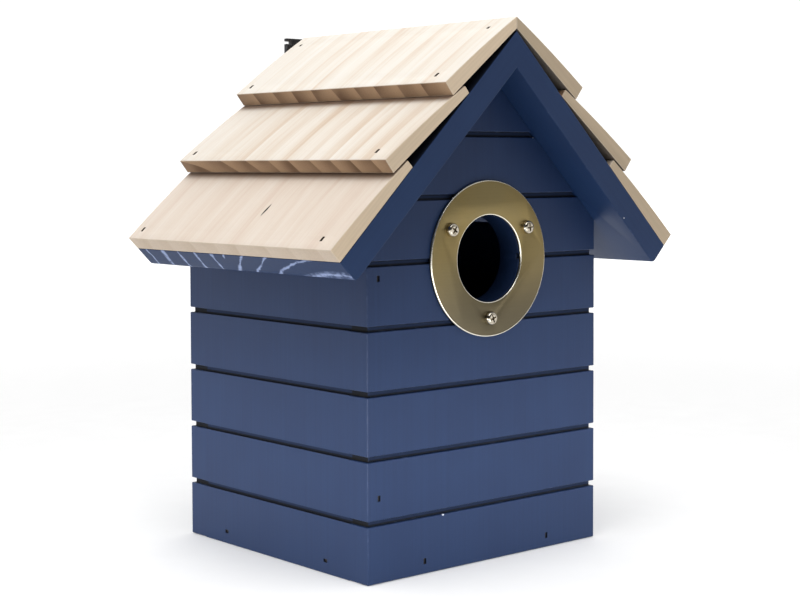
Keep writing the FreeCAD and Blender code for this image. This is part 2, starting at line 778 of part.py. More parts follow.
for item in doc.Objects:
    if any(word in item.State for word in ("Invalid", "Error")):
        raise RuntimeError("%s (%s) failed: %s" % (item.Name, item.Label, item.State))
os.makedirs("parts", exist_ok=True)
for label, item in nodes.items():
    shape = item.Shape
    if shape.isNull() or not shape.isValid():
        raise RuntimeError("%s has no valid shape" % label)
for label, item in nodes.items():
    item.Shape.exportStep("parts/%s.step" % label)
print("%d nodes, %d solids" % (len(nodes), sum(len(item.Shape.Solids) for item in nodes.values())))
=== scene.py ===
"""Looks of the lapped-roof birdhouse: blue painted box, bare pine roof boards, brass entrance
ring, nickel screws, steel brads and a black wall hanger.

Metres, +Z up, the entrance faces -Y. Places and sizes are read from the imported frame.
"""
import json
import math

import bmesh
import bpy
from mathutils import Matrix, Vector


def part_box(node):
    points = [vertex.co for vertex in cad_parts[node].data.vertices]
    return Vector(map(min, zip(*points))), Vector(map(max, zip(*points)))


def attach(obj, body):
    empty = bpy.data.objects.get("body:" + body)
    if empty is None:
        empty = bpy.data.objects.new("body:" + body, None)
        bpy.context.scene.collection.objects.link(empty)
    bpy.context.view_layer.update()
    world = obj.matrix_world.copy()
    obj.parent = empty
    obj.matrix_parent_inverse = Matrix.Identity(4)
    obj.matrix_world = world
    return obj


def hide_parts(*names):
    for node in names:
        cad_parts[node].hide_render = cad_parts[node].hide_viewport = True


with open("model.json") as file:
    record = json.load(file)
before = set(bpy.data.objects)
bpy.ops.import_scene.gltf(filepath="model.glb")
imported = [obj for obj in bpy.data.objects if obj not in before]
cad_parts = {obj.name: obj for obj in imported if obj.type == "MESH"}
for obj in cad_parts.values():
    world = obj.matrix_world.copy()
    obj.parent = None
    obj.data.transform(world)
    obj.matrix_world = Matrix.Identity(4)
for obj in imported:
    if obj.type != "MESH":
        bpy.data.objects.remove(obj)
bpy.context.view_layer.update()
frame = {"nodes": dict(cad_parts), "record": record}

MM = 0.001
X_AXIS, Y_AXIS, Z_AXIS = Vector((1, 0, 0)), Vector((0, 1, 0)), Vector((0, 0, 1))

# ---------------------------------------------------------------- places read from the frame

WALL_LOW, WALL_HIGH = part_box("front_wall")
FRONT, SIDE, APEX = WALL_LOW.y, WALL_HIGH.x, WALL_HIGH.z
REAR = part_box("rear_wall")[1].y
INNER_SIDE = -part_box("left_wall")[1].x
JOINT = -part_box("left_wall")[0].y
SLOPE = math.atan2(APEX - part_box("left_wall")[1].z, INNER_SIDE)
ROOF_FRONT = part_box("left_roof_panel")[0].y
ROOF_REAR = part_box("left_roof_panel")[1].y
MOUNTS = {mount["name"]: mount for mount in frame["record"]["mounts"]}
ENTRANCE_RADIUS = MOUNTS["entrance"]["dims"]["r_mm"] * MM
RING_LOW, RING_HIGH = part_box("entrance_plate")
RING_CENTRE = (RING_LOW + RING_HIGH) / 2
HANDS = ((-1, "left"), (1, "right"))

# ---------------------------------------------------------------- sizes of the details

GROOVE_FIRST = 20.3 * MM
GROOVE_PITCH = 22.7 * MM
GROOVE_HIGH = 2.0 * MM
GROOVE_DEEP = 1.3 * MM
BOARD_THICK = 5.9 * MM
HEAD_RADIUS, HEAD_HIGH, SHANK_RADIUS = 2.6 * MM, 1.9 * MM, 1.2 * MM
# radius of a screw head at its crown, as a share of the radius at its foot
CROWN = 0.62
# the middle and upper boards rest on the one below, so they lie less steep than the panels
LAP_TILT = math.asin(4.6 / 44.6)
# how far the edges are rounded by planing, stamping and wear
WALL_EASE, PANEL_EASE, EAVE_EASE, BOARD_EASE = 0.3 * MM, 0.35 * MM, 1.8 * MM, 0.3 * MM
RING_EASE, HANGER_EASE, BUTTON_EASE, WASHER_EASE = 0.38 * MM, 0.3 * MM, 0.25 * MM, 0.08 * MM
BRAD_EASE = 0.12 * MM
# faces that meet at more than this angle form an edge that is rounded
SHARP_EDGE = math.radians(28)
# faces smaller than this on a wall or a board belong to its holes
HOLE_FACE = 30 * MM * MM
# level faces larger than this are a wall's top or foot, not a groove's
LEVEL_FACE = 400 * MM * MM


def up_slope(side, tilt=0.0):
    """Direction up a roof slope; side is -1 on the left and 1 on the right."""
    return Vector((-side * math.cos(SLOPE - tilt), 0, math.sin(SLOPE - tilt)))


# ---------------------------------------------------------------- nodes as Python


class Value:
    """A value socket in Python sums: each operation adds one Math node."""

    def __init__(self, owner, socket):
        self.owner, self.socket = owner, socket

    def __add__(self, other):
        return self.owner.math("ADD", self, other)

    __radd__ = __add__

    def __sub__(self, other):
        return self.owner.math("SUBTRACT", self, other)

    def __rsub__(self, other):
        return self.owner.math("SUBTRACT", other, self)

    def __mul__(self, other):
        return self.owner.math("MULTIPLY", self, other)

    __rmul__ = __mul__

    def __truediv__(self, other):
        return self.owner.math("DIVIDE", self, other)

    def __pow__(self, other):
        return self.owner.math("POWER", self, other)

    def __mod__(self, other):
        return self.owner.math("FLOORED_MODULO", self, other)

    def __abs__(self):
        return self.owner.math("ABSOLUTE", self)

    def root(self):
        return self.owner.math("SQRT", self)

    def above(self, other):
        return self.owner.math("GREATER_THAN", self, other)

    def at_least(self, other):
        return self.owner.math("MAXIMUM", self, other)

    def at_most(self, other):
        return self.owner.math("MINIMUM", self, other)

    def rise(self, low, high):
        """0 below low and 1 above high, eased between; low may be the larger for a fall."""
        made = self.owner.node("ShaderNodeMapRange", {"interpolation_type": "SMOOTHSTEP"}, {
            "Value": self, "From Min": low, "From Max": high,
        })
        return Value(self.owner, made.outputs["Result"])


class Tree:
    """Adds nodes to a node tree from their type, settings and inputs."""

    def __init__(self, tree):
        self.tree = tree

    def node(self, kind, settings=None, inputs=None):
        made = self.tree.nodes.new(kind)
        for name, value in (settings or {}).items():
            if name == "stops":
                self._set_stops(made.color_ramp, value)
            else:
                setattr(made, name, value)
        for name, value in (inputs or {}).items():
            socket = value.socket if isinstance(value, Value) else value
            if isinstance(socket, bpy.types.NodeSocket):
                self.tree.links.new(socket, made.inputs[name])
            else:
                made.inputs[name].default_value = socket
        return made

    def math(self, operation, *values):
        made = self.node("ShaderNodeMath", {"operation": operation}, dict(enumerate(values)))
        return Value(self, made.outputs[0])

    def vector(self, x, y, z):
        return self.node("ShaderNodeCombineXYZ", None, {0: x, 1: y, 2: z}).outputs[0]

    @staticmethod
    def _set_stops(ramp, stops):
        while len(ramp.elements) > 1:
            ramp.elements.remove(ramp.elements[-1])
        ramp.elements[0].position, ramp.elements[0].color = stops[0]
        for position, colour in stops[1:]:
            ramp.elements.new(position).color = colour


class Maker(Tree):
    """A Geometry Nodes tree with named inputs, run once to give a plain mesh."""

    KINDS = {float: "Float", bpy.types.Material: "Material", Vector: "Vector"}

    def __init__(self, name, sizes):
        self.group = bpy.data.node_groups.new(name, "GeometryNodeTree")
        super().__init__(self.group)
        face = self.group.interface
        face.new_socket("Geometry", in_out="INPUT", socket_type="NodeSocketGeometry")
        self.sizes, self.keys = sizes, {}
        for label, value in sizes.items():
            kind = "NodeSocket" + self.KINDS[type(value)]
            self.keys[label] = face.new_socket(label, in_out="INPUT", socket_type=kind).identifier
        face.new_socket("Geometry", in_out="OUTPUT", socket_type="NodeSocketGeometry")
        self.given = self.node("NodeGroupInput").outputs

    def size(self, label):
        return Value(self, self.given[label])

    def mesh_on(self, points):
        """Run the tree on an object made of loose points; points holds (place, turn)."""
        seeds = bpy.data.meshes.new(self.group.name)
        seeds.from_pydata([place for place, _ in points], [], [])
        turns = seeds.attributes.new("turn", "FLOAT", "POINT")
        turns.data.foreach_set("value", [turn for _, turn in points])
        holder = bpy.data.objects.new(self.group.name, seeds)
        bpy.context.scene.collection.objects.link(holder)
        modifier = holder.modifiers.new("made", "NODES")
        modifier.node_group = self.group
        for label, value in self.sizes.items():
            modifier[self.keys[label]] = value
        holder.update_tag()
        ready = holder.evaluated_get(bpy.context.evaluated_depsgraph_get())
        mesh = bpy.data.meshes.new_from_object(ready)
        holder.modifiers.remove(modifier)
        bpy.data.objects.remove(holder)
        return mesh


class Finish(Tree):
    """A material under construction."""

    def __init__(self, name):
        self.material = bpy.data.materials.new(name)
        self.material.use_nodes = True
        super().__init__(self.material.node_tree)
        self.tree.nodes.clear()
        coords = self.node("ShaderNodeTexCoord")
        self.place, self.normal = coords.outputs["Object"], coords.outputs["Normal"]

    def noise(self, where, size, detail=2.0, rough=0.5, warp=0.0):
        """Noise from 0 to 1 whose features are about 'size' wide, in the units of 'where'."""
        made = self.node("ShaderNodeTexNoise", None, {
            "Vector": where, "Scale": 1 / size, "Detail": detail,
            "Roughness": rough, "Distortion": warp,
        })
        return Value(self, made.outputs["Fac"])

    def mix(self, share, a, b):
        """Colour a where share is 0 and b where it is 1."""
        made = self.node("ShaderNodeMix", {"data_type": "RGBA"}, {0: share, 6: a, 7: b})
        return made.outputs[2]

    def shade(self, colour, by):
        """Colour times a value."""
        made = self.node("ShaderNodeVectorMath", {"operation": "SCALE"}, {0: colour, "Scale": by})
        return made.outputs[0]

    def ramp(self, value, stops):
        made = self.node("ShaderNodeValToRGB", {"stops": stops}, {"Fac": value})
        return made.outputs["Color"]

    def facing(self, direction):
        """1 where the surface faces the direction, 0 where it is side on and -1 behind."""
        made = self.node("ShaderNodeVectorMath", {"operation": "DOT_PRODUCT"}, {
            0: self.normal, 1: tuple(direction),
        })
        return Value(self, made.outputs["Value"])

    def distance(self, spot):
        made = self.node("ShaderNodeVectorMath", {"operation": "DISTANCE"}, {
            0: self.place, 1: tuple(spot),
        })
        return Value(self, made.outputs["Value"])

    def attribute(self, name):
        made = self.node("ShaderNodeAttribute", {"attribute_name": name})
        return Value(self, made.outputs["Fac"])

    def bump(self, height, depth):
        made = self.node("ShaderNodeBump", None, {"Height": height, "Distance": depth})
        return made.outputs["Normal"]

    def surface(self, **inputs):
        """Principled surface; plain values are set on its own sockets."""
        named = {name.replace("_", " "): value for name, value in inputs.items()}
        shader = self.node("ShaderNodeBsdfPrincipled", None, named)
        out = self.node("ShaderNodeOutputMaterial")
        self.tree.links.new(shader.outputs[0], out.inputs["Surface"])
        return self.material


def rgb(red, green, blue):
    """Linear colour from display values out of 255, with alpha."""
    parts = []
    for part in (red, green, blue):
        share = part / 255
        parts.append(share / 12.92 if share <= 0.04045 else ((share + 0.055) / 1.055) ** 2.4)
    return (*parts, 1.0)


# ---------------------------------------------------------------- timber


class Timber:
    """A board's own coordinates in millimetres, from its middle point.

    'along' is the grain, 'across' lies in the board's face and 'through' is its thickness.
    """

    def __init__(self, finish, middle, along, across):
        through = along.cross(across)
        turn = Matrix((along, across, through))
        shift = turn @ Vector(middle) / MM
        self.finish = finish
        self.where = finish.node("ShaderNodeMapping", None, {
            "Vector": finish.place, "Location": tuple(-shift),
            "Rotation": turn.to_euler(), "Scale": (1 / MM,) * 3,
        }).outputs[0]
        parts = finish.node("ShaderNodeSeparateXYZ", None, {0: self.where})
        self.along, self.across, self.through = (Value(finish, part) for part in parts.outputs)
        self.end_grain = abs(finish.facing(along)).rise(0.55, 0.85)
        self.outward = finish.facing(through)

    def stretched(self, along, across, through):
        """Coordinates squeezed so that a unit is that many millimetres each way."""
        return self.finish.vector(
            self.along / along, self.across / across, self.through / through)

    def fibre(self, wide=0.35, long=16.0):
        return self.finish.noise(self.stretched(long, wide, wide), 1.0, 3.0, 0.6)

    def reach(self, pith):
        """Distance from the pith, the rings' centre, given across and through the board."""
        return ((self.across - pith[0]) ** 2.0 + (self.through - pith[1]) ** 2.0).root()

    def ring(self, pith, gap, wander):
        """0 to 1 through each year ring."""
        slow = self.finish.noise(self.stretched(90, 22, 22), 1.0, 1.0)
        return (self.reach(pith) / gap + (slow - 0.5) * wander) % 1.0


# painted shadow on a board just below the edge of the board that laps it
LAP_SHADOW = rgb(116, 78, 46)
WORN_ARRIS = rgb(226, 212, 192)
# painted shade inside the brad holes of the boards
HOLE_SHADE = rgb(30, 20, 13)
# painted shade for the boards' undersides, which face the dark gap over the roof panels
SHADED_PINE = rgb(46, 32, 22)
SPLIT_DARK = rgb(34, 20, 12)


def planed_face(finish, wood, late, fine, strong, tones, band, lines, warmth):
    """Colour of the planed face: year rings as soft bands, fine lines and slow blotches."""
    stripe = finish.noise(wood.stretched(260, 2.6, 9.0), 1.0, 4.0, 0.62, 0.15)
    blotch = finish.noise(wood.stretched(60, 18, 18), 1.0, 2.0)
    tone = (late * band * (0.35 + strong * 0.65) + (stripe - 0.5) * lines * 2.0
            + (fine - 0.5) * 0.5 + (blotch - 0.5) * 0.5 + 0.15 + warmth)
    return finish.ramp(tone, list(zip((0.0, 0.3, 0.65, 1.0), tones)))


def sawn_end(finish, wood, ring, fibre, strong, end_tones):
    """Colour of the sawn end grain: sharp late wood and saw marks."""
    sharp = ring.rise(0.0, 0.95) * (1.0 - ring.rise(0.95, 1.0))
    end_wood = finish.mix(sharp * (0.55 + strong * 0.45), *end_tones)
    saw = finish.noise(wood.stretched(30, 0.55, 14), 1.0, 2.0, 0.6)
    return finish.shade(end_wood, 1.12 - saw * 0.16 - fibre.rise(0.35, 0.75) * 0.14)


def split_in(wood, up, over, long, wide):
    """1 inside a short split in the face, at a place up and over from the board's middle."""
    bend = (wood.along - up) * 0.06
    gap = abs(wood.across - over + bend) / wide + (abs(wood.along - up) / long) ** 2.0
    return (1.0 - gap.rise(0.8, 1.15)) * wood.through.above(0.0)


def bare_pine(name, middle, side, tilt, pith, ring_gap, tones, end_tones, ripped,
              band, lines, wander=0.25, warmth=0.0, lapped=None, slit=None):
    """Unpainted planed pine, darker at its sawn ends, with a painted shadow where the next board
    laps it.
    """
    finish = Finish(name)
    wood = Timber(finish, middle, up_slope(side, tilt), -side * Y_AXIS)
    ring, fibre = wood.ring(pith, ring_gap, wander), wood.fibre()
    fine = finish.noise(wood.stretched(70, 0.5, 0.9), 1.0, 2.0, 0.6)
    strong = finish.noise(wood.stretched(400, 14, 14), 1.0, 1.0).rise(0.35, 0.65)
    late = ring.rise(0.1, 1.0) * (1.0 - ring.rise(0.88, 1.0))
    colour = planed_face(finish, wood, late, fine, strong, tones, band, lines, warmth)
    colour = finish.shade(colour, 1.0 - fibre.rise(0.6, 0.8) * 0.10)
    ripped_edge = abs(finish.facing(Y_AXIS)).rise(0.6, 0.9)
    colour = finish.mix(
        ripped_edge, colour, finish.shade(ripped[:3], 1.08 - late * 0.12 - (fine - 0.5) * 0.3))
    if lapped is not None:
        # painted shadow below the edge of the board that laps this one
        lap_shadow = wood.along.rise(lapped - 4.5, lapped + 0.5) ** 2.0 * wood.outward.rise(0.5, 0.9)
        colour = finish.mix(lap_shadow * 0.8, colour, LAP_SHADOW)
    colour = finish.mix(
        wood.end_grain * 0.97, colour, sawn_end(finish, wood, ring, fibre, strong, end_tones))
    colour = finish.mix(finish.attribute("arris") * 0.3, colour, WORN_ARRIS)
    # painted shade inside the brad holes
    colour = finish.mix(finish.attribute("hole") * 0.9, colour, HOLE_SHADE)
    # painted shade on the underside that faces the dark gap over the panel
    shaded_underside = wood.outward.rise(-0.6, -0.9)
    colour = finish.mix(shaded_underside * 0.85, colour, SHADED_PINE)
    height = fibre * 0.6 + late * 0.4
    if slit:
        opened = split_in(wood, *slit)
        colour = finish.mix(opened * 0.97, colour, SPLIT_DARK)
        height = height - opened * 4.0
    return finish.surface(
        Base_Color=colour,
        Roughness=0.62 + fibre * 0.12 + shaded_underside * 0.3,
        Normal=finish.bump(height, 0.06 * MM),
        Specular_IOR_Level=0.3,
    )


BLUE_DEEP = rgb(13, 28, 62)
BLUE_FULL = rgb(33, 57, 95)
BLUE_WORN = rgb(150, 166, 205)
BARE_CHIP = rgb(214, 219, 229)

# a roof panel is glued from two staves, cut flat in front of the joint and upright behind it;
# millimetres across and through the panel from its middle
STAVE_JOINT = 6.1
FLAT_PITH, FLAT_RING, FLAT_GAP, FLAT_HEART = (-56.4, -62.0), 83.1, 7.6, 62.0
UPRIGHT_RING, UPRIGHT_GAP = 13.0, 10.9


def rubbed_rings(finish, wood):
    """1 where late wood shows through the paint on a panel's end."""
    wide = finish.noise(wood.stretched(200, 7, 7), 1.0, 1.0)
    bend = finish.noise(wood.where, 4.0, 2.0) - 0.5
    patchy = finish.noise(wood.where, 2.2, 4.0, 0.7)
    arc = wood.reach(FLAT_PITH)
    upright = wood.across.above(STAVE_JOINT)
    flat = 1.0 - upright
    line = (upright * (wood.across - UPRIGHT_RING) / UPRIGHT_GAP
            + flat * (arc - FLAT_RING) / FLAT_GAP)
    off_line = abs((line + bend * 0.2 + 0.5) % 1.0 - 0.5)
    near = off_line / (0.05 + 0.09 * wide.rise(0.4, 0.7))
    rubbed = (1.0 - near.rise(0.25, 1.25)) * patchy.rise(0.24, 0.56)
    heart = arc.rise(FLAT_HEART + 0.4, FLAT_HEART - 0.4) * flat * patchy.rise(0.3, 0.7) * 0.5
    return rubbed.at_least(heart) * wood.end_grain


def groove_shadow(finish, wood):
    """How dark a groove is: darkest in its two inner corners."""
    height = (wood.along - GROOVE_FIRST / MM) % (GROOVE_PITCH / MM)
    corners = height.rise(0.95, 0.55) + height.rise(1.55, 1.8)
    return finish.attribute("groove") * (0.42 + corners.at_most(1.0) * 0.45)


def blue_paint(name, middle, along, across, streaks=0.0, veil=0.0, chips=(), covered=0.0,
               sheen=0.26):
    """Satin blue paint over timber: brush streaks along the grain, chips and painted shade in the
    grooves.

    streaks is how strongly the end rings are rubbed, veil lightens the whole coat and covered
    sets how much painted shade darkens the face that lies under the roof boards.
    """
    finish = Finish(name)
    wood = Timber(finish, middle, along, across)
    fibre = wood.fibre(0.45, 30.0)
    brush = finish.noise(wood.stretched(120, 1.6, 1.6), 1.0, 3.0, 0.6)
    cloud = finish.noise(wood.where, 26.0, 2.0)
    tone = (brush - 0.5) * 0.30 + (fibre - 0.5) * 0.22 + (cloud - 0.5) * 0.28 + veil
    colour = finish.mix(0.5 + tone, BLUE_DEEP, BLUE_FULL)
    if streaks:
        colour = finish.mix(rubbed_rings(finish, wood) * streaks, colour, BLUE_WORN)
    colour = finish.shade(colour, 1.0 - groove_shadow(finish, wood))
    # painted shade inside the brad holes, half as strong on the walls of the entrance bore
    colour = finish.shade(colour, 1.0 - finish.attribute("hole") * 0.85)
    scuff = finish.noise(wood.where, 3.5, 3.0, 0.6)
    colour = finish.mix(finish.attribute("arris") * scuff.rise(0.5, 0.8) * 0.08, colour, BLUE_WORN)
    # painted shade on the panel's top face, in the dark gap under the roof boards
    cover_shade = wood.outward.rise(0.6, 0.9) * covered
    colour = finish.shade(colour, 1.0 - cover_shade * 0.85)
    for spot, size in chips:
        ragged = (scuff - 0.5) * size * 1.2
        chipped = (finish.distance(spot) + ragged).rise(size * 1.1, size * 0.8)
        colour = finish.mix(chipped * 0.85, colour, BARE_CHIP)
    return finish.surface(
        Base_Color=colour,
        Roughness=0.42 + fibre * 0.10 + finish.attribute("groove") * 0.3 + cover_shade * 0.5,
        Normal=finish.bump(fibre * 0.5 + brush * 0.6, 0.035 * MM),
        Specular_IOR_Level=sheen,
    )


def brushed_brass():
    """Thin stamped brass, faintly brushed; painted reflection greys it low down, painted edge
    highlights.
    """
    finish = Finish("brass_plate")
    where = finish.node("ShaderNodeMapping", None, {
        "Vector": finish.place, "Scale": (1 / MM,) * 3,
    }).outputs[0]
    parts = finish.node("ShaderNodeSeparateXYZ", None, {0: where})
    x, y, z = (Value(finish, part) for part in parts.outputs)
    brushing = finish.noise(finish.vector(x / 14.0, y, z / 0.22), 1.0, 3.0, 0.6)
    tarnish = finish.noise(where, 16.0, 3.0, 0.5)
    specks = finish.noise(where, 0.7, 2.0, 0.7)
    # painted reflection: the plate darker and greyer low down
    low_reflection = z.rise(RING_CENTRE.z / MM + 12.0, RING_CENTRE.z / MM - 24.0)
    colour = finish.mix(tarnish.rise(0.35, 0.7), rgb(148, 130, 86), rgb(142, 127, 88))
    colour = finish.mix(low_reflection * 0.9, colour, rgb(90, 84, 70))
    colour = finish.shade(colour, 0.9 + brushing * 0.2)
    colour = finish.mix(specks.rise(0.66, 0.78) * 0.35, colour, rgb(96, 84, 56))
    # painted highlight on the cut edges
    colour = finish.mix(finish.attribute("arris") * 0.92, colour, rgb(255, 250, 234))
    return finish.surface(
        Base_Color=colour,
        Metallic=1.0,
        Roughness=0.32 + brushing * 0.12 + tarnish * 0.04 - finish.attribute("arris") * 0.15,
        Normal=finish.bump(brushing, 0.012 * MM),
    )


def bright_nickel():
    """Plated screw heads with fine turning marks."""
    finish = Finish("nickel_screw")
    where = finish.place
    marks = finish.noise(where, 0.35 * MM, 3.0, 0.6)
    smear = finish.noise(where, 1.6 * MM, 2.0)
    colour = finish.mix(smear.rise(0.35, 0.7), rgb(206, 198, 182), rgb(160, 151, 134))
    return finish.surface(
        Base_Color=finish.shade(colour, 0.9 + marks * 0.2),
        Metallic=1.0,
        Roughness=0.10 + marks * 0.10,
        Normal=finish.bump(marks, 0.01 * MM),
    )


def brad_steel():
    """Dull brads coloured nearly black, as painted shade for the holes they sit in."""
    finish = Finish("brad_steel")
    where = finish.place
    marks = finish.noise(where, 0.3 * MM, 3.0, 0.6)
    # painted shade: nearly black instead of steel grey
    colour = finish.mix(marks.rise(0.35, 0.7), rgb(9, 7, 6), rgb(34, 29, 27))
    return finish.surface(
        Base_Color=colour,
        Metallic=0.0,
        Roughness=0.65 + marks * 0.2,
        Normal=finish.bump(marks, 0.02 * MM),
    )


def black_steel():
    """Black lacquered strip steel, slightly pitted, grey where the edges are rubbed."""
    finish = Finish("black_steel")
    where = finish.place
    pits = finish.noise(where, 0.8 * MM, 3.0, 0.6)
    cloud = finish.noise(where, 6.0 * MM, 2.0)
    colour = finish.mix(cloud.rise(0.3, 0.7), rgb(24, 24, 27), rgb(40, 40, 44))
    rubbed = finish.attribute("arris") * pits.rise(0.4, 0.6)
    colour = finish.mix(rubbed * 0.6, colour, rgb(120, 118, 116))
    return finish.surface(
        Base_Color=colour,
        Roughness=0.34 + pits * 0.2,
        Normal=finish.bump(pits, 0.03 * MM),
    )


# ---------------------------------------------------------------- shaping pieces


def finished(name, shape, material, body, nodes, smooth=None):
    """Turn a bmesh into a piece that stands for its CAD nodes."""
    mesh = bpy.data.meshes.new(name)
    shape.to_mesh(mesh)
    shape.free()
    if smooth is not None:
        mesh.polygons.foreach_set("use_smooth", [True] * len(mesh.polygons))
        mesh.set_sharp_from_angle(angle=math.radians(smooth))
    piece = bpy.data.objects.new(name, mesh)
    bpy.context.scene.collection.objects.link(piece)
    mesh.materials.append(material)
    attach(piece, body)
    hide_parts(*nodes)


def solid_copy(node):
    """Merged copy of a CAD node with only its real edges left."""
    shape = bmesh.new()
    shape.from_mesh(frame["nodes"][node].data)
    bmesh.ops.remove_doubles(shape, verts=shape.verts, dist=1e-6)
    bmesh.ops.dissolve_limit(
        shape, angle_limit=math.radians(0.6), verts=shape.verts, edges=shape.edges)
    return shape


def ease(shape, radius, steps=2, chosen=None):
    """Round the sharp edges and mark the new faces with the 'arris' attribute."""
    arris = shape.faces.layers.float.get("arris") or shape.faces.layers.float.new("arris")
    edges = [
        edge for edge in shape.edges
        if len(edge.link_faces) == 2 and edge.calc_face_angle(0.0) > SHARP_EDGE
        and (chosen is None or chosen(edge))
    ]
    made = bmesh.ops.bevel(
        shape, geom=edges, offset=radius, offset_type="OFFSET", segments=steps,
        profile=0.5, affect="EDGES", clamp_overlap=False, loop_slide=False)
    for face in made["faces"]:
        face[arris] = 1.0


def mark_grooves(shape, faces_out):
    """Mark the faces that lie inside the board-look grooves.

    faces_out is a list of (axis index, outer place) of the grooved sides.
    """
    groove = shape.faces.layers.float.new("groove")
    for face in shape.faces:
        middle = face.calc_center_median()
        if abs(face.normal.z) > 0.9 and face.calc_area() > LEVEL_FACE:
            continue
        height = (middle.z - GROOVE_FIRST) % GROOVE_PITCH
        if GROOVE_HIGH + 0.05 * MM < height < GROOVE_PITCH - 0.05 * MM:
            continue
        depth = min(abs(place - middle[axis]) for axis, place in faces_out)
        if 0.25 * MM < depth < GROOVE_DEEP + 0.1 * MM:
            face[groove] = 1.0


def mark_holes(shape):
    """Mark the small walls of the brad holes for painted shade, and half as strongly those of the
    entrance.
    """
    hole = shape.faces.layers.float.new("hole")
    for face in shape.faces:
        if face.calc_area() < HOLE_FACE:
            away = face.calc_center_median() - RING_CENTRE
            in_entrance = math.hypot(away.x, away.z) < ENTRANCE_RADIUS + 1 * MM
            face[hole] = 0.5 if in_entrance else 1.0


# ---------------------------------------------------------------- painted box

# body, grooved sides as (axis index, outer place), direction across the face, its middle
WALLS = {
    "front_wall": ("house", [(1, FRONT), (0, -SIDE), (0, SIDE)], X_AXIS, Vector((0, FRONT, 0))),
    "rear_wall": ("house", [(1, REAR), (0, -SIDE), (0, SIDE)], X_AXIS, Vector((0, REAR, 0))),
    "left_wall": ("house", [(0, -SIDE)], Y_AXIS, Vector((-SIDE, 0, 0))),
    "side_door": ("side_door", [(0, SIDE)], Y_AXIS, Vector((SIDE, 0, 0))),
}
# small bare spots in the paint: place and radius
CHIPS = {
    "front_wall": [
        (Vector((-22.3 * MM, FRONT, GROOVE_FIRST)), 0.55 * MM),
        (Vector((23.6 * MM, FRONT, GROOVE_FIRST + 6 * GROOVE_PITCH)), 0.35 * MM),
    ],
    "right_roof_panel": [(Vector((57.6 * MM, ROOF_FRONT, 125.8 * MM)), 0.3 * MM)],
}


def in_joint(edge):
    """Whether an edge lies where two painted-over pieces meet flush."""
    at_end = [
        abs(abs(vert.co.y) - JOINT) < 0.01 * MM and abs(vert.co.x) > INNER_SIDE
        for vert in edge.verts
    ]
    at_ridge = [abs(vert.co.x) < 0.01 * MM for vert in edge.verts]
    return all(at_end) or all(at_ridge)


def make_walls():
    for name, (body, grooved, across, middle) in WALLS.items():
        shape = solid_copy(name)
        mark_holes(shape)
        flush = name != "side_door"
        ease(shape, WALL_EASE, chosen=lambda edge: not (flush and in_joint(edge)))
        mark_grooves(shape, grooved)
        paint = blue_paint("paint_" + name, middle, Z_AXIS, across, chips=CHIPS.get(name, ()))
        finished(name + "_painted", shape, paint, body, [name])


def make_roof_panels():
    for side, word in HANDS:
        node = word + "_roof_panel"
        low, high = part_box(node)
        shape = solid_copy(node)
        foot = low.z + 1 * MM
        ease(shape, EAVE_EASE, steps=4,
             chosen=lambda edge: all(vert.co.z < foot for vert in edge.verts))
        ease(shape, PANEL_EASE, chosen=lambda edge: not in_joint(edge))
        middle = Vector((0, (ROOF_FRONT + ROOF_REAR) / 2, (APEX + high.z) / 2))
        paint = blue_paint(
            "paint_" + node, middle, up_slope(side), -side * Y_AXIS, streaks=0.9, veil=0.16,
            chips=CHIPS.get(node, ()), covered=1.0, sheen=0.2)
        finished(node + "_painted", shape, paint, "house", [node])


def paint_floor_panel():
    shape = solid_copy("floor_panel")
    ease(shape, WALL_EASE)
    low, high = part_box("floor_panel")
    paint = blue_paint("paint_floor_panel", (low + high) / 2, Y_AXIS, X_AXIS)
    finished("floor_panel_painted", shape, paint, "house", ["floor_panel"])


# ---------------------------------------------------------------- bare boards

CREAM = (rgb(249, 243, 234), rgb(244, 235, 222), rgb(234, 216, 197), rgb(216, 190, 164))
STRAW = (rgb(245, 237, 226), rgb(238, 226, 211), rgb(226, 205, 183), rgb(206, 178, 150))
BLUSH = (rgb(240, 228, 215), rgb(233, 217, 201), rgb(223, 200, 182), rgb(204, 177, 154))
SAWN_BROWN = (rgb(166, 135, 104), rgb(102, 73, 48))
SAWN_PALE = (rgb(197, 181, 163), rgb(188, 170, 150))
# the right boards' side faces take the darker tone as painted shade, the left ones the paler
RIPPED_PALE, RIPPED_SHADED = rgb(206, 186, 160), rgb(176, 158, 134)
BOARDS = {
    "upper": dict(tilt=LAP_TILT, pith=(-160.0, 25.0), ring_gap=12.5, tones=CREAM,
                  end_tones=SAWN_BROWN, band=0.4, lines=0.45, wander=0.5),
    "middle": dict(tilt=LAP_TILT, pith=(68.7, -47.6), ring_gap=10.3, tones=STRAW,
                   end_tones=SAWN_BROWN, band=0.5, lines=0.4),
    "lower": dict(tilt=0.0, pith=(230.0, 20.0), ring_gap=15.0, tones=BLUSH,
                  end_tones=SAWN_PALE, band=0.2, lines=0.32, warmth=0.05, wander=0.8),
}
LAPPED_BY = {"middle": "upper", "lower": "middle"}
# a small split in one board: how far up and over from its middle, half its length and width
LEFT_LOWER_SLIT = (-4.0, -9.5, 3.2, 0.5)
# the right boards mirror the left ones' pith and move it by this, so the grain is not a copy
RIGHT_PITH_SHIFT = 7.0


def lap_line(word, level, tilt):
    """Place up a board, in millimetres from its middle, where the board above it begins."""
    low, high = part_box("%s_%s_board" % (word, level))
    above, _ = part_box("%s_%s_board" % (word, LAPPED_BY[level]))
    angle = SLOPE - tilt
    rise = above.z - (low.z + high.z) / 2 - BOARD_THICK / 2 * math.cos(angle)
    return rise / math.sin(angle) / MM


